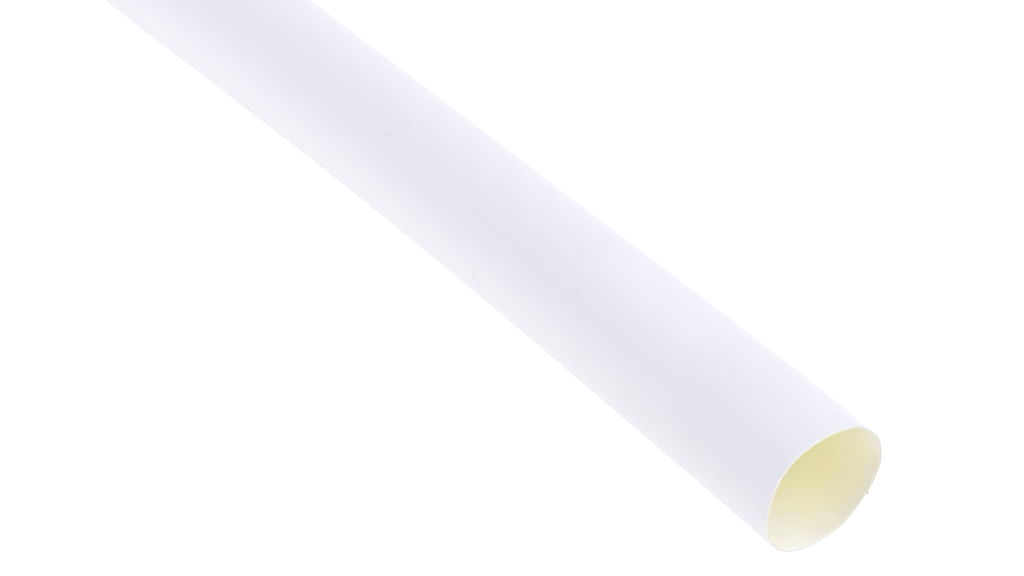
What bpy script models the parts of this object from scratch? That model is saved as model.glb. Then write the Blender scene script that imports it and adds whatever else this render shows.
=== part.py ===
"""A stick of white heat shrink tube as it is supplied, lying on a level floor along X."""

import math

import bmesh
import bpy
from mathutils import Matrix

# Driving dimensions, in metres: one stick of tube before it is shrunk.
LENGTH = 1.2
BORE = 0.0254
WALL = 0.00045

# The soft section is never quite round. It is a little wider than tall, and its long axis wanders along
# the stick.
FLATTENING = 0.0001
FLATTENING_SWING = 0.00018
FLATTENING_CREST = 0.056
LEAN_SWING = 0.00035
LEAN_CREST = -0.014
OVAL_PITCH = 0.24

# One shallow bow, sideways along the floor, leaves the stick a few millimetres out of true near its +X end.
BOW = 0.0032
BOW_SPREAD = 0.15
BOW_PLACE = 0.098

# The blade that cuts a stick pushes its rim out of round, in lobes that fade out along the tube. Each number
# of lobes has a height, and the angle in degrees, from +Y towards +Z, where one of them is highest.
LOBE_HEIGHTS = {2: 0.00047, 3: 0.00017, 4: 0.0001}
LOBE_ANGLES = {2: -19, 3: 9.5, 4: 35.5}
LOBE_FADE = 0.018

# The rings of points that carry the surface lie closer together near the two cut ends.
SIDES = 40
END_RINGS = (0.0, 0.007, 0.015)
RING_PITCH = 0.04

WHITE = (0.83, 0.83, 0.88, 1.0)
ROUGHNESS = 0.42


def wave(distance, swing, pitch, crest):
    """A value that rises and falls along the stick and is highest at the crest."""
    return swing * math.cos(2 * math.pi * (distance - crest) / pitch)


def radius(distance, angle):
    """The outer radius in one direction round the section, at a distance from the +X end."""
    flattening = FLATTENING + wave(distance, FLATTENING_SWING, OVAL_PITCH, FLATTENING_CREST)
    lean = wave(distance, LEAN_SWING, OVAL_PITCH, LEAN_CREST)
    oval = flattening * math.cos(2 * angle) + lean * math.sin(2 * angle)
    lobes = sum(
        height * math.cos(count * (angle - math.radians(LOBE_ANGLES[count])))
        for count, height in LOBE_HEIGHTS.items()
    )
    from_end = min(distance, LENGTH - distance)
    return BORE / 2 + WALL + oval + lobes * math.exp(-((from_end / LOBE_FADE) ** 2))


def bow(distance):
    """How far the shallow bow carries the section's centre towards +Y."""
    return BOW * math.exp(-(((distance - BOW_PLACE) / BOW_SPREAD) ** 2))


def centre_height(distance):
    """How high the section's centre lies, with its lowest point on the floor."""
    angles = [2 * math.pi * side / SIDES for side in range(SIDES)]
    return max(-radius(distance, angle) * math.sin(angle) for angle in angles)


def ring_distances():
    """The distances of the rings from the +X end."""
    first = END_RINGS[-1]
    even = LENGTH - 2 * first
    spans = max(1, round(even / RING_PITCH))
    middle = [first + even * step / spans for step in range(1, spans)]
    return [*END_RINGS, *middle, *(LENGTH - distance for distance in reversed(END_RINGS))]


def extruded(mesh, edges):
    """Extrudes a loop of edges where it is, and gives the new loop's points and edges."""
    made = bmesh.ops.extrude_edge_only(mesh, edges=edges)["geom"]
    points = {item for item in made if isinstance(item, bmesh.types.BMVert)}
    loop = [item for item in made if isinstance(item, bmesh.types.BMEdge) and points.issuperset(item.verts)]
    return list(points), loop


def straight_tube(mesh):
    """A round straight tube with its two walls and cut ends, from the origin towards -X."""
    outer = BORE / 2 + WALL
    facing_x = Matrix.Rotation(math.radians(90), 4, "Y")
    bmesh.ops.create_circle(mesh, segments=SIDES, radius=outer, matrix=facing_x)
    near_rim = loop = list(mesh.edges)
    distances = ring_distances()
    for here, there in zip(distances, distances[1:]):
        points, loop = extruded(mesh, loop)
        bmesh.ops.translate(mesh, verts=points, vec=(here - there, 0, 0))
    points, loop = extruded(mesh, loop)
    share = BORE / 2 / outer
    bmesh.ops.scale(mesh, verts=points, vec=(1, share, share))
    for here, there in zip(distances[::-1], distances[-2::-1]):
        points, loop = extruded(mesh, loop)
        bmesh.ops.translate(mesh, verts=points, vec=(here - there, 0, 0))
    bmesh.ops.bridge_loops(mesh, edges=near_rim + loop)
    bmesh.ops.recalc_face_normals(mesh, faces=mesh.faces)


def settle(mesh):
    """Gives the straight tube its oval sections and its bow, and lays it on the floor over the origin."""
    between_walls = (BORE + WALL) / 2
    for point in mesh.verts:
        distance = -point.co.x
        angle = math.atan2(point.co.z, point.co.y)
        depth = WALL if math.hypot(point.co.y, point.co.z) < between_walls else 0.0
        reach = radius(distance, angle) - depth
        point.co.x = LENGTH / 2 - distance
        point.co.y = reach * math.cos(angle) + bow(distance)
        point.co.z = reach * math.sin(angle) + centre_height(distance)
    sides = [point.co.y for point in mesh.verts]
    bmesh.ops.translate(mesh, verts=mesh.verts, vec=(0, -(min(sides) + max(sides)) / 2, 0))


def white_plastic():
    """Plain white cross-linked plastic with a soft shine."""
    material = bpy.data.materials.new("white_plastic")
    material.use_nodes = True
    shader = material.node_tree.nodes["Principled BSDF"]
    shader.inputs["Base Color"].default_value = WHITE
    shader.inputs["Roughness"].default_value = ROUGHNESS
    shader.inputs["Metallic"].default_value = 0.0
    return material


def tube():
    """The one piece: an extruded tube with both ends cut square."""
    mesh = bmesh.new()
    straight_tube(mesh)
    settle(mesh)
    data = bpy.data.meshes.new("tube")
    mesh.to_mesh(data)
    mesh.free()
    data.shade_smooth()
    data.set_sharp_from_angle(angle=math.radians(40))
    data.materials.append(white_plastic())
    piece = bpy.data.objects.new("tube", data)
    bpy.context.scene.collection.objects.link(piece)


for old in list(bpy.data.objects):
    bpy.data.objects.remove(old)
tube()
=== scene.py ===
"""A stick of white heat shrink tube, seen from its cut mouth, on a lit white table."""
import math

import bpy
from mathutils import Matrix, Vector


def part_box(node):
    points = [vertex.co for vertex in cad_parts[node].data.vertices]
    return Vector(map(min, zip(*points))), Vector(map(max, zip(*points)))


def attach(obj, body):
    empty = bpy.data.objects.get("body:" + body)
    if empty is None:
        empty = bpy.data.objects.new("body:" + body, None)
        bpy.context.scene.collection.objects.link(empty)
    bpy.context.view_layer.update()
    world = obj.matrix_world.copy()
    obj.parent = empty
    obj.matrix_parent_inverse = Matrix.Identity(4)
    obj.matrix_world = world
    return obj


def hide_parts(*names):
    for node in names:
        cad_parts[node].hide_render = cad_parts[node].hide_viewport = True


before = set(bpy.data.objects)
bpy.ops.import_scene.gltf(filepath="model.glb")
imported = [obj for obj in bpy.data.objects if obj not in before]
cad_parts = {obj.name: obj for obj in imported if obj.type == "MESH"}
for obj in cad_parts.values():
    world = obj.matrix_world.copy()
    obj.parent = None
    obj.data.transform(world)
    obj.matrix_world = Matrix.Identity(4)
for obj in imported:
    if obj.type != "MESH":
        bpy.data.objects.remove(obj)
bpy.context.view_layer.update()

# Heat shrink tube: one stick of white cross-linked plastic, extruded thin and cut square with a blade. It
# is soft: its section is a little oval, it bows near its mouth, and the blade pushed each rim out of round.
# Nothing is fixed to it, and it lies loose, as it is supplied.
low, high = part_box("tube")
LENGTH = high.x - low.x
BORE = 0.0254
WALL = 0.00045
INSIDE_SOLID = 0.00002
OUTER_RADIUS = BORE / 2 + WALL - INSIDE_SOLID

# How the soft section wanders from round along the stick, and how the stick bows sideways near its mouth.
FLATTENING = 0.0001
FLATTENING_SWING = 0.00018
FLATTENING_CREST = 0.056
LEAN_SWING = 0.00035
LEAN_CREST = -0.014
OVAL_PITCH = 0.24
BOW = 0.0032
BOW_SPREAD = 0.15
BOW_PLACE = 0.098

# Lobes that the blade leaves at a rim: how many, how high, and the angle of one that is highest, in degrees
# from +Y towards +Z. They fade out along the tube.
LOBES = ((2, 0.00047, -19), (3, 0.00017, 9.5), (4, 0.0001, 35.5))
LOBE_FADE = 0.018

# Small corners and flats that the blade left round the photographed rim: the angle and the half width in
# degrees, then the height. They fade out a few millimetres along the tube.
RIM_DENTS = (
    (37, 11, -0.00032),
    (355, 8, 0.00026),
    (321, 10, -0.00024),
    (297, 5, 0.00024),
    (205, 12, 0.00012),
    (170, 12, -0.00016),
    (140, 4, 0.00014),
    (105, 11, -0.00018),
)
DENT_FADE = 0.006

# The blade ran a little askew at the mouth: the rim is cut back, most on the side that lies away from the
# photographer.
CUT_BACK = 0.00035
CUT_PROUD = math.radians(130)
CUT_FADE = 0.006

# Each cut end also has a slight wave, which stays just inside the solid's end.
CUT_WAVE = 0.00006
CUT_WAVE_COUNT = 3
CUT_WAVE_TURN = 1.0
CUT_INSET = 0.00001

# The points round each ring, and the steps between rings: short ones by each cut end, listed from the end
# inwards, and even ones between. Rings are told apart by their distances, to this many decimals.
SIDES = 160
END_STEPS = [0.0004] * 5 + [0.001] * 6 + [0.002] * 6
EVEN_STEP = 0.0064
RING_DECIMALS = 6


def wave(distance, swing, crest):
    """A value that rises and falls along the stick and is highest at the crest."""
    return swing * math.cos(2 * math.pi * (distance - crest) / OVAL_PITCH)


def radius(distance, angle):
    """The outer radius in one direction round the section, at a distance from the mouth."""
    flattening = FLATTENING + wave(distance, FLATTENING_SWING, FLATTENING_CREST)
    lean = wave(distance, LEAN_SWING, LEAN_CREST)
    oval = flattening * math.cos(2 * angle) + lean * math.sin(2 * angle)
    lobes = sum(height * math.cos(count * (angle - math.radians(crest))) for count, height, crest in LOBES)
    from_end = min(distance, LENGTH - distance)
    return OUTER_RADIUS + oval + lobes * math.exp(-((from_end / LOBE_FADE) ** 2))


def dents(distance, angle):
    """How far the small corners and flats of the photographed rim lift the surface."""
    lift = 0.0
    for crest, half_width, height in RIM_DENTS:
        off = (math.degrees(angle) - crest + 180) % 360 - 180
        lift += height * math.exp(-((off / half_width) ** 2))
    return lift * math.exp(-((distance / DENT_FADE) ** 2))


def bow(distance):
    """How far the bow carries the section's centre towards +Y."""
    return BOW * math.exp(-(((distance - BOW_PLACE) / BOW_SPREAD) ** 2))


def centre_height(distance):
    """How high the section's centre lies, with its lowest point on the table."""
    angles = [2 * math.pi * side / SIDES for side in range(SIDES)]
    return max(-radius(distance, angle) * math.sin(angle) for angle in angles)


def ring_steps():
    """The steps from one ring of points to the next, from the mouth to the far end."""
    even = LENGTH - 2 * sum(END_STEPS)
    count = round(even / EVEN_STEP)
    return END_STEPS + [even / count] * count + END_STEPS[::-1]


bpy.ops.object.select_all(action="DESELECT")
bpy.ops.mesh.primitive_circle_add(
    vertices=SIDES, radius=OUTER_RADIUS, location=(high.x, 0, 0), rotation=(0, math.radians(90), 0)
)
tube = bpy.context.active_object
tube.name = "heat_shrink_tube"
tube.data.name = "heat_shrink_tube"
bpy.ops.object.transform_apply(location=True, rotation=True, scale=True)
bpy.ops.object.mode_set(mode="EDIT")
bpy.ops.mesh.select_all(action="SELECT")
for step in ring_steps():
    bpy.ops.mesh.extrude_region_move(TRANSFORM_OT_translate={"value": (-step, 0, 0)})
bpy.ops.mesh.select_all(action="SELECT")
bpy.ops.mesh.normals_make_consistent(inside=False)
bpy.ops.object.mode_set(mode="OBJECT")

# Each point keeps the place that it had in the straight round tube as it left the die, for the finishes to
# follow: the distance from the mouth, and the place across the section.
as_drawn = tube.data.attributes.new("as_drawn", "FLOAT_VECTOR", "POINT")
for point, kept in zip(tube.data.vertices, as_drawn.data):
    kept.vector = (high.x - point.co.x, point.co.y, point.co.z)

# The straight tube takes its soft shape, and its cut ends their slight wave.
centre_heights = {}
for point, kept in zip(tube.data.vertices, as_drawn.data):
    distance = min(max(kept.vector.x, 0.0), LENGTH)
    angle = math.atan2(kept.vector.z, kept.vector.y)
    ring = round(distance, RING_DECIMALS)
    if ring not in centre_heights:
        centre_heights[ring] = centre_height(distance)
    cut = CUT_INSET + CUT_WAVE * (1 + math.sin(CUT_WAVE_COUNT * angle + CUT_WAVE_TURN)) / 2
    if distance < CUT_FADE:
        askew = CUT_BACK * (1 - math.cos(angle - CUT_PROUD)) / 2
        point.co.x -= (cut + askew) * (1 - distance / CUT_FADE)
    elif LENGTH - distance < CUT_FADE:
        point.co.x += cut * (1 - (LENGTH - distance) / CUT_FADE)
    reach = radius(distance, angle) + dents(distance, angle)
    point.co.y = reach * math.cos(angle) + bow(distance)
    point.co.z = reach * math.sin(angle) + centre_heights[ring]
sides = [point.co.y for point in tube.data.vertices]
middle = (min(sides) + max(sides)) / 2
for point in tube.data.vertices:
    point.co.y -= middle


def add_node(tree, kind, inputs=None, **settings):
    """Adds a shader node. Each of its inputs is given a value, or the output that feeds it."""
    made = tree.nodes.new("ShaderNode" + kind)
    for name, value in settings.items():
        setattr(made, name, value)
    for key, value in (inputs or {}).items():
        if isinstance(value, bpy.types.NodeSocket):
            tree.links.new(value, made.inputs[key])
        else:
            made.inputs[key].default_value = value
    return made


def vector_math(tree, operation, first, second):
    """Works one vector against another, and gives the node's outputs."""
    return add_node(tree, "VectorMath", {0: first, 1: second}, operation=operation).outputs


def new_group(name, inputs, outputs):
    """An empty node group with its sockets, and its input and output nodes."""
    tree = bpy.data.node_groups.new(name, "ShaderNodeTree")
    for socket, kind in inputs.items():
        tree.interface.new_socket(socket, in_out="INPUT", socket_type="NodeSocket" + kind)
    for socket in outputs:
        tree.interface.new_socket(socket, in_out="OUTPUT", socket_type="NodeSocketFloat")
    return tree, tree.nodes.new("NodeGroupInput"), tree.nodes.new("NodeGroupOutput")


# Extruded grain: faint lines that the die draws along the plastic, and the soft flecks of its white filler.
# Outside, bore and cut rim all have it, each at its own scale and strength.
LINE_STRETCH = 0.012
GRAIN_DETAIL = 2.0
grain, given, gives = new_group(
    "extruded_grain", {"Place": "Vector", "Line Pitch": "Float", "Fleck Size": "Float"}, ("Lines", "Flecks")
)
drawn_out = vector_math(grain, "MULTIPLY", given.outputs["Place"], (LINE_STRETCH, 1, 1))
for source, size, output in (
    (drawn_out["Vector"], "Line Pitch", "Lines"),
    (given.outputs["Place"], "Fleck Size", "Flecks"),
):
    per_metre = add_node(grain, "Math", {0: 1.0, 1: given.outputs[size]}, operation="DIVIDE").outputs[0]
    scaled = add_node(grain, "VectorMath", {0: source, "Scale": per_metre}, operation="SCALE").outputs[0]
    noise = add_node(grain, "TexNoise", {"Vector": scaled, "Scale": 1.0, "Detail": GRAIN_DETAIL})
    grain.links.new(noise.outputs["Fac"], gives.inputs[output])

# Stroke: a soft line from one place on the tube to another, broad for a band of painted light or shade and
# fine for a hair mark. Its mask falls away with the distance from the line's nearest place.
stroke, given, gives = new_group(
    "stroke", {"Place": "Vector", "Start": "Vector", "End": "Vector", "Half Width": "Float"}, ("Mask",)
)
from_start = vector_math(stroke, "SUBTRACT", given.outputs["Place"], given.outputs["Start"])["Vector"]
run = vector_math(stroke, "SUBTRACT", given.outputs["End"], given.outputs["Start"])["Vector"]
along = vector_math(stroke, "DOT_PRODUCT", from_start, run)["Value"]
squared = vector_math(stroke, "DOT_PRODUCT", run, run)["Value"]
share = add_node(stroke, "Math", {0: along, 1: squared}, operation="DIVIDE", use_clamp=True).outputs[0]
nearest = add_node(stroke, "VectorMath", {0: run, "Scale": share}, operation="SCALE").outputs["Vector"]
aside = vector_math(stroke, "DISTANCE", from_start, nearest)["Value"]
soft = add_node(
    stroke,
    "MapRange",
    {"Value": aside, "From Max": given.outputs["Half Width"], "To Min": 1.0, "To Max": 0.0},
    interpolation_type="SMOOTHSTEP",
)
stroke.links.new(soft.outputs["Result"], gives.inputs["Mask"])

# How far light spreads in the plastic once it is in.
LIGHT_SPREAD = 0.0008


def finish(name):
    """A new material: itself, its node tree, its shader's sockets, and the place on the tube as drawn."""
    material = bpy.data.materials.new(name)
    material.use_nodes = True
    tree = material.node_tree
    place = add_node(tree, "Attribute", attribute_name="as_drawn").outputs["Vector"]
    return material, tree, tree.nodes["Principled BSDF"].inputs, place


def let_light_in(sockets, share):
    """Lets a share of the light enter the plastic and spread in it."""
    sockets["Subsurface Weight"].default_value = share
    sockets["Subsurface Scale"].default_value = LIGHT_SPREAD
    sockets["Subsurface Radius"].default_value = (1.0, 1.0, 1.0)


def place_grain(tree, place, line_pitch, fleck_size):
    """Puts the extruded grain in a material, and gives its lines and its flecks."""
    made = tree.nodes.new("ShaderNodeGroup")
    made.node_tree = grain
    tree.links.new(place, made.inputs["Place"])
    made.inputs["Line Pitch"].default_value = line_pitch
    made.inputs["Fleck Size"].default_value = fleck_size
    return made.outputs["Lines"], made.outputs["Flecks"]


def blend(tree, mask, first, second):
    """The first colour where a mask is 0, the second where it is 1."""
    mixed = add_node(tree, "Mix", {"Factor": mask, "A": first, "B": second}, data_type="RGBA")
    return mixed.outputs["Result"]


def from_cut(tree, place):
    """The distance from the nearer cut end."""
    parts = add_node(tree, "SeparateXYZ", {"Vector": place})
    distance = add_node(tree, "Math", {0: parts.outputs["X"], 1: LENGTH / 2}, operation="PINGPONG")
    return distance.outputs[0]


def side_mask(tree, place, angle, start, full):
    """A mask for one side of the tube, from its start to its full, as cosines of the turn from that side."""
    towards = (0, math.cos(angle) / OUTER_RADIUS, math.sin(angle) / OUTER_RADIUS)
    facing = vector_math(tree, "DOT_PRODUCT", place, towards)["Value"]
    mask = add_node(tree, "MapRange", {"Value": facing, "From Min": start, "From Max": full})
    return mask.outputs["Result"]


def emboss(tree, sockets, height, depth):
    """Feeds a height from 0 to 1 to the shader's normal, as relief of a depth in metres."""
    relief = add_node(tree, "Bump", {"Height": height, "Distance": depth, "Strength": 1.0})
    tree.links.new(relief.outputs["Normal"], sockets["Normal"])


# Outside: cool white and satin, a little translucent, with the grain. Its white has a pale edge by each cut,
# broad soft bands of painted light and shade, three hair marks and a few specks.
WHITE = (0.804, 0.804, 0.876, 1)
DIMMER_WHITE = (0.784, 0.784, 0.857, 1)
OUTSIDE_LIGHT_SHARE = 0.08
GLOSSIEST = 0.36
DULLEST = 0.48
GRAIN_RELIEF = 0.000004
outside, tree, sockets, place = finish("cool_white_outside")
lines, flecks = place_grain(tree, place, line_pitch=0.0009, fleck_size=0.0014)
let_light_in(sockets, OUTSIDE_LIGHT_SHARE)
white = blend(tree, flecks, WHITE, DIMMER_WHITE)

# By a cut, light that enters the cut face shows through the thin wall as a pale edge.
PALE_EDGE = (0.93, 0.925, 0.93, 1)
PALE_EDGE_REACH = 0.0005
PALE_EDGE_SHARE = 0.5
distance = from_cut(tree, place)
edge = add_node(
    tree,
    "MapRange",
    {"Value": distance, "From Max": PALE_EDGE_REACH, "To Min": PALE_EDGE_SHARE, "To Max": 0.0},
    interpolation_type="SMOOTHSTEP",
)
white = blend(tree, edge.outputs["Result"], white, PALE_EDGE)

# The white has broad soft bands of painted light and shade, laid along the tube. Each has a start and an
# end, as the distance from the mouth in metres and the angle in degrees, then its half width and how much
# lighter it is painted than the rest, or darker if that is below zero.
PAST_END = LENGTH + 0.01
PAINTED_LIGHT_AND_SHADE_BANDS = (
    ((-0.004, 150), (0.022, 146), 0.009, -0.044),
    ((0.03, 142), (0.16, 118), 0.008, -0.017),
    ((0.168, 118), (PAST_END, 118), 0.008, -0.017),
    ((0.046, 176), (PAST_END, 173), 0.008, 0.018),
    ((0.062, 176), (PAST_END, 173), 0.008, 0.019),
    ((0.036, 96), (0.056, 94), 0.01, 0.032),
)

# Hair marks and specks: the places along each, the half width of its soft line, and how dark it is.
HAIR_GREY = (0.52, 0.53, 0.55, 1)
HAIR_MARKS = (
    (((0.11882, 105), (0.1192, 109.5), (0.11965, 115.8)), 0.00042, 0.07),
    (((0.11893, 106), (0.1191, 108.4)), 0.00055, 0.13),
    (((0.11932, 110.8), (0.11944, 112.6)), 0.00055, 0.13),
    (((0.11965, 115.8), (0.12016, 121)), 0.0004, 0.06),
    (((0.12026, 122.6), (0.1205, 126), (0.12055, 128)), 0.00058, 0.19),
    (((0.12058, 129), (0.12077, 131.4), (0.12065, 136.2), (0.12017, 140)), 0.0004, 0.05),
    (((0.08586, 177.6), (0.08566, 181.6), (0.08492, 184.3), (0.08384, 185.7)), 0.0006, 0.27),
    (((0.05948, 129.4), (0.05977, 131.6), (0.05985, 134), (0.05934, 136), (0.05924, 138.3)), 0.00036, 0.18),
    (((0.05924, 138.3), (0.05955, 139.7), (0.06015, 139.1)), 0.00036, 0.2),
    (((0.04561, 79.6), (0.04561, 80.8)), 0.00036, 0.13),
    (((0.01985, 67.6), (0.01985, 68.4)), 0.00036, 0.16),
)


def on_section(distance, degrees):
    """A place on the straight round tube, by its distance from the mouth and its angle."""
    angle = math.radians(degrees)
    return (distance, OUTER_RADIUS * math.cos(angle), OUTER_RADIUS * math.sin(angle))


def place_stroke(tree, place, start, end, half_width):
    """Puts one stroke in a material, and gives its mask."""
    made = tree.nodes.new("ShaderNodeGroup")
    made.node_tree = stroke
    tree.links.new(place, made.inputs["Place"])
    made.inputs["Start"].default_value = on_section(*start)
    made.inputs["End"].default_value = on_section(*end)
    made.inputs["Half Width"].default_value = half_width
    return made.outputs["Mask"]


# Painted light and shade: each band makes the white lighter or darker along its stroke.
painted_brightness = 1.0
for start, end, half_width, painted_change in PAINTED_LIGHT_AND_SHADE_BANDS:
    painted_band = place_stroke(tree, place, start, end, half_width)
    lit = add_node(tree, "Math", {0: painted_band, 1: painted_change, 2: painted_brightness}, operation="MULTIPLY_ADD")
    painted_brightness = lit.outputs[0]
white = add_node(tree, "VectorMath", {0: white, "Scale": painted_brightness}, operation="SCALE").outputs["Vector"]

marks = 0.0
for points, half_width, darkness in HAIR_MARKS:
    for start, end in zip(points, points[1:]):
        line = place_stroke(tree, place, start, end, half_width)
        mark = add_node(tree, "Math", {0: line, 1: darkness}, operation="MULTIPLY").outputs[0]
        marks = add_node(tree, "Math", {0: mark, 1: marks}, operation="MAXIMUM").outputs[0]
tree.links.new(blend(tree, marks, white, HAIR_GREY), sockets["Base Color"])
satin = add_node(tree, "MapRange", {"Value": lines, "To Min": GLOSSIEST, "To Max": DULLEST})
tree.links.new(satin.outputs["Result"], sockets["Roughness"])
height = add_node(tree, "Math", {0: lines, 1: flecks}, operation="ADD")
emboss(tree, sockets, height.outputs[0], GRAIN_RELIEF)

# Bore: the plastic's own pale yellow, which all the light sinks into, with painted light and shade on it. It
# has
# one tone for each depth below: a painted shade line just inside the cut, then painted light that brightens
# it and deepens the yellow away from the mouth, most on the wall that faces out of it. Round the rest of the
# bore it is painted paler, as painted light from the table through the wall.
BORE_LIGHT_SHARE = 1.0
BORE_ROUGHNESS = 0.5
FACING_OUT = math.radians(328)
FACING_SPREAD = math.radians(70)
BORE_DEPTHS = (0.0, 0.0005, 0.003, 0.006, 0.01, 0.018)
BORE_YELLOW_WITH_PAINTED_LIGHT = (
    (0.73, 0.72, 0.655),
    (0.80, 0.78, 0.705),
    (0.84, 0.815, 0.69),
    (0.875, 0.845, 0.675),
    (0.92, 0.885, 0.66),
    (0.965, 0.925, 0.67),
)
BORE_PALE_WITH_PAINTED_LIGHT = (
    (0.86, 0.86, 0.87),
    (0.93, 0.925, 0.935),
    (0.94, 0.93, 0.92),
    (0.95, 0.935, 0.895),
    (0.965, 0.945, 0.855),
    (0.975, 0.955, 0.845),
)
bore, tree, sockets, place = finish("pale_yellow_bore")
lines, flecks = place_grain(tree, place, line_pitch=0.0012, fleck_size=0.002)
let_light_in(sockets, BORE_LIGHT_SHARE)
sockets["Roughness"].default_value = BORE_ROUGHNESS
# Painted light and shade by depth: darker just inside the cut, brighter and yellower deeper in.
depth = add_node(tree, "MapRange", {"Value": from_cut(tree, place), "From Max": BORE_DEPTHS[-1]})
tones = []
for colours in (BORE_PALE_WITH_PAINTED_LIGHT, BORE_YELLOW_WITH_PAINTED_LIGHT):
    ramp = add_node(tree, "ValToRGB", {"Fac": depth.outputs["Result"]})
    stops = ramp.color_ramp.elements
    for between in BORE_DEPTHS[1:-1]:
        stops.new(between / BORE_DEPTHS[-1])
    for stop, colour in zip(stops, colours):
        stop.color = (*colour, 1)
    tones.append(ramp.outputs["Color"])
# Painted light: the bore is paler away from the wall that faces out of it.
shaded_wall_mask = side_mask(tree, place, FACING_OUT, math.cos(FACING_SPREAD), 1.0)
tree.links.new(blend(tree, shaded_wall_mask, *tones), sockets["Base Color"])
height = add_node(tree, "Math", {0: lines, 1: flecks}, operation="ADD")
emboss(tree, sockets, height.outputs[0], GRAIN_RELIEF)

# Cut rim: the fresh face that the blade leaves, cream and slightly ragged, with its edges just softened. It
# is painted darker, as painted shade, on its side towards +Y, and it is cooler low down in front.
RIM_CREAM = (0.76, 0.745, 0.71, 1)
RIM_FLECK_AND_SHADE = (0.645, 0.635, 0.60, 1)
RIM_COOL = (0.71, 0.715, 0.735, 1)
RIM_SHADED_SIDE = math.radians(345)
RIM_SHADE_START = 0.0
RIM_SHADE_FULL = 0.9
RIM_COOL_SIDE = math.radians(245)
RIM_COOL_START = 0.7
RIM_COOL_FULL = 0.95
RIM_FLECK = 0.12
RIM_ROUGHNESS = 0.55
RIM_RELIEF = 0.00001
rim, tree, sockets, place = finish("cream_cut_rim")
flecks = place_grain(tree, place, line_pitch=0.0006, fleck_size=0.0008)[1]
sockets["Roughness"].default_value = RIM_ROUGHNESS
# Painted shade: the rim darkens towards its side at +Y, and its flecks mottle it.
rim_shade = side_mask(tree, place, RIM_SHADED_SIDE, RIM_SHADE_START, RIM_SHADE_FULL)
flecks_and_shade = add_node(tree, "Math", {0: flecks, 1: RIM_FLECK, 2: rim_shade}, operation="MULTIPLY_ADD")
cream = blend(tree, flecks_and_shade.outputs[0], RIM_CREAM, RIM_FLECK_AND_SHADE)
cool = side_mask(tree, place, RIM_COOL_SIDE, RIM_COOL_START, RIM_COOL_FULL)
tree.links.new(blend(tree, cool, cream, RIM_COOL), sockets["Base Color"])
emboss(tree, sockets, flecks, RIM_RELIEF)

# The wall gets its thickness inwards. Its inner face takes the bore's finish and its two ends the rim's, and
# the rims' edges are softened.
BORE_SLOT = 1
RIM_SLOT = 2
RIM_BEVEL = 0.00009
RIM_BEVEL_STEPS = 2
RIM_CORNER = math.radians(50)
for material in (outside, bore, rim):
    tube.data.materials.append(material)
bpy.ops.object.select_all(action="DESELECT")
tube.select_set(True)
bpy.context.view_layer.objects.active = tube
wall = tube.modifiers.new("wall", "SOLIDIFY")
wall.thickness = WALL
wall.offset = -1
wall.use_even_offset = True
wall.material_offset = BORE_SLOT
wall.material_offset_rim = RIM_SLOT
bpy.ops.object.modifier_apply(modifier=wall.name)
softened = tube.modifiers.new("softened", "BEVEL")
softened.width = RIM_BEVEL
softened.segments = RIM_BEVEL_STEPS
softened.limit_method = "ANGLE"
softened.angle_limit = RIM_CORNER
bpy.ops.object.modifier_apply(modifier=softened.name)

# A crumb of the tube's own plastic clings to the rim, where the blade came out. Its grey is painted shade.
CRUMB_PAINTED_SHADE = (0.4, 0.4, 0.4, 1)
CRUMB_SLOT = 3
CRUMB_ANGLE = math.radians(327.8)
CRUMB_RADIUS = 0.0002
CRUMB_ROUNDNESS = 2
CRUMB_DEPTH = 0.00045
CRUMB_STAND = 0.00014
SMOOTH_BELOW = math.radians(40)
crumb = bpy.data.materials.new("crumb_with_painted_shade")
crumb.use_nodes = True
# Painted shade: the crumb's grey.
crumb.node_tree.nodes["Principled BSDF"].inputs["Base Color"].default_value = CRUMB_PAINTED_SHADE
tube.data.materials.append(crumb)
crumb_reach = radius(0, CRUMB_ANGLE) + dents(0, CRUMB_ANGLE) + CRUMB_STAND
crumb_place = (
    high.x - CRUMB_DEPTH,
    crumb_reach * math.cos(CRUMB_ANGLE) + bow(0) - middle,
    crumb_reach * math.sin(CRUMB_ANGLE) + centre_height(0),
)
bpy.ops.object.mode_set(mode="EDIT")
bpy.ops.mesh.select_all(action="DESELECT")
bpy.ops.mesh.primitive_ico_sphere_add(
    subdivisions=CRUMB_ROUNDNESS, radius=CRUMB_RADIUS, location=crumb_place
)
tube.active_material_index = CRUMB_SLOT
bpy.ops.object.material_slot_assign()
bpy.ops.object.mode_set(mode="OBJECT")
bpy.ops.object.shade_smooth_by_angle(angle=SMOOTH_BELOW)
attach(tube, "root")
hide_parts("tube")

# Lit table: a broad white sheet of plastic with even light under it. It glows from below, so that nothing on
# it throws a shadow, and the stick lies loose on it.
TABLE_SIZE = 400
TABLE_GLOW = 1.0
TABLE_SHEET = (0.1, 0.1, 0.1, 1)
TABLE_TINT = (1, 1, 0.975, 1)
bpy.ops.object.select_all(action="DESELECT")
bpy.ops.mesh.primitive_plane_add(size=TABLE_SIZE, location=(0, 0, 0))
table = bpy.context.active_object
table.name = "lit_table"
glow = bpy.data.materials.new("lit_table")
glow.use_nodes = True
sockets = glow.node_tree.nodes["Principled BSDF"].inputs
sockets["Base Color"].default_value = TABLE_SHEET
sockets["Roughness"].default_value = 1.0
sockets["Specular IOR Level"].default_value = 0.0
sockets["Emission Color"].default_value = TABLE_TINT
sockets["Emission Strength"].default_value = TABLE_GLOW
glow.cycles.emission_sampling = "NONE"
table.data.materials.append(glow)

# Light tent: white cloth all round that glows softly, dimmer where the camera looks in and brighter at the
# mouth's side. Each panel has an azimuth, an elevation and a spread in degrees, and the glow that it adds.
TENT_GLOW = 1.03
TENT_TINT = (1.0, 1.0, 1.0, 1)
TENT_PANELS = ((52, 38, 60, -0.37), (105, 30, 50, 0.7))


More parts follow.
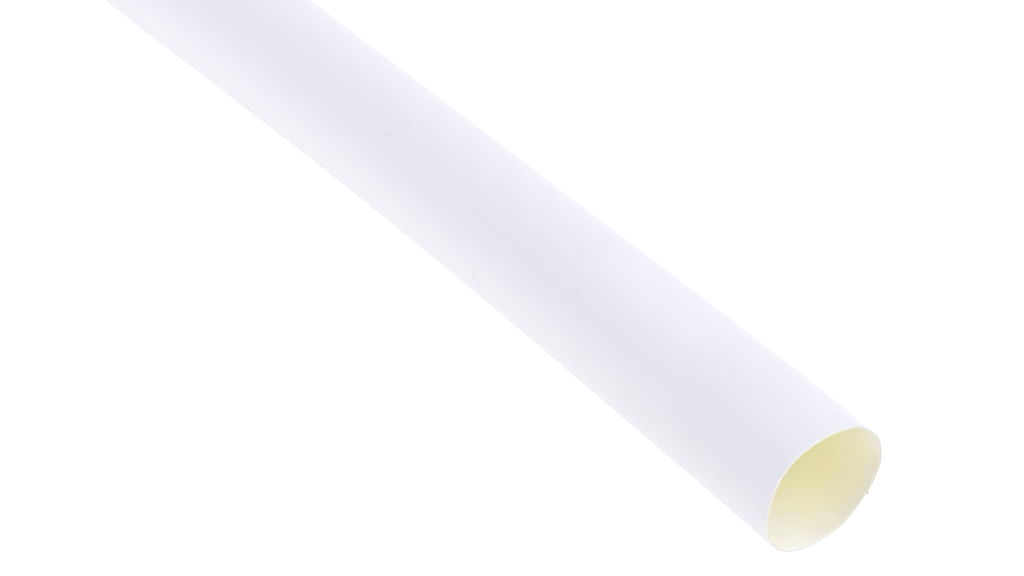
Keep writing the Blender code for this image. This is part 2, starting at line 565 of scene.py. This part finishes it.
def direction(azimuth, elevation):
    """The unit vector towards a place round the stick, with azimuth 0 in front at -Y and 90 at +X."""
    turn = math.radians(azimuth)
    rise = math.radians(elevation)
    return Vector((math.sin(turn) * math.cos(rise), -math.cos(turn) * math.cos(rise), math.sin(rise)))


tent = bpy.data.worlds.new("light_tent")
tent.use_nodes = True
tree = tent.node_tree
towards = add_node(tree, "TexCoord").outputs["Generated"]
light = TENT_GLOW
for azimuth, elevation, spread, strength in TENT_PANELS:
    facing = vector_math(tree, "DOT_PRODUCT", towards, direction(azimuth, elevation))["Value"]
    panel = add_node(
        tree,
        "MapRange",
        {"Value": facing, "From Min": math.cos(math.radians(spread)), "To Max": strength},
        interpolation_type="SMOOTHSTEP",
    )
    light = add_node(tree, "Math", {0: panel.outputs["Result"], 1: light}, operation="ADD").outputs[0]
cloth = tree.nodes["Background"].inputs
tree.links.new(light, cloth["Strength"])
cloth["Color"].default_value = TENT_TINT
bpy.context.scene.world = tent

# Low soft box: a small panel of light behind white cloth. It stands on the table in front of the stick and
# back from its mouth, just out of the picture.
BOX_PLACE = Vector((0.38, -0.17, 0.03))
BOX_AIM = Vector((0.41, 0, 0.013))
BOX_WIDTH = 0.2
BOX_HEIGHT = 0.06
BOX_WATTS = 0.018
box_turn = (BOX_AIM - BOX_PLACE).to_track_quat("-Z", "Y").to_euler()
bpy.ops.object.select_all(action="DESELECT")
bpy.ops.object.light_add(type="AREA", location=BOX_PLACE, rotation=box_turn)
soft_box = bpy.context.active_object
soft_box.name = "low_soft_box"
soft_box.data.shape = "RECTANGLE"
soft_box.data.size = BOX_WIDTH
soft_box.data.size_y = BOX_HEIGHT
soft_box.data.energy = BOX_WATTS
soft_box.visible_camera = False

# Camera: a long lens above and beside the mouth, whose centre falls on its own pixel of the photograph.
# What it sees starts a centimetre away and ends far beyond the table.
PHOTO_WIDTH = 1024
PHOTO_HEIGHT = 576
MOUTH_PIXEL = (823.27, 488.49)
MOUTH_CENTRE = Vector((0.59965, 0.00053, 0.01266))
CAMERA_AZIMUTH = 52.645
CAMERA_ELEVATION = 37.852
CAMERA_DEPTH = 0.53774
LENS = 108.55
NEAREST = 0.01
FARTHEST = 1000

camera_data = bpy.data.cameras.new("camera")
camera_data.lens = LENS
camera_data.clip_start = NEAREST
camera_data.clip_end = FARTHEST
camera = bpy.data.objects.new("camera", camera_data)
bpy.context.scene.collection.objects.link(camera)
back = direction(CAMERA_AZIMUTH, CAMERA_ELEVATION)
right = Vector((math.cos(math.radians(CAMERA_AZIMUTH)), math.sin(math.radians(CAMERA_AZIMUTH)), 0))
up = back.cross(right)
per_pixel = CAMERA_DEPTH * camera_data.sensor_width / LENS / PHOTO_WIDTH
across = (MOUTH_PIXEL[0] - PHOTO_WIDTH / 2) * per_pixel
down = (MOUTH_PIXEL[1] - PHOTO_HEIGHT / 2) * per_pixel
camera.location = MOUTH_CENTRE + back * CAMERA_DEPTH - right * across + up * down
camera.rotation_euler = (-back).to_track_quat("-Z", "Y").to_euler()
bpy.context.scene.camera = camera
bpy.context.scene.view_settings.view_transform = "Standard"

# Light finds its way along the narrow bore only after many turns between its walls.
LIGHT_TURNS = 24
bpy.context.scene.cycles.max_bounces = LIGHT_TURNS
bpy.context.scene.cycles.diffuse_bounces = LIGHT_TURNS
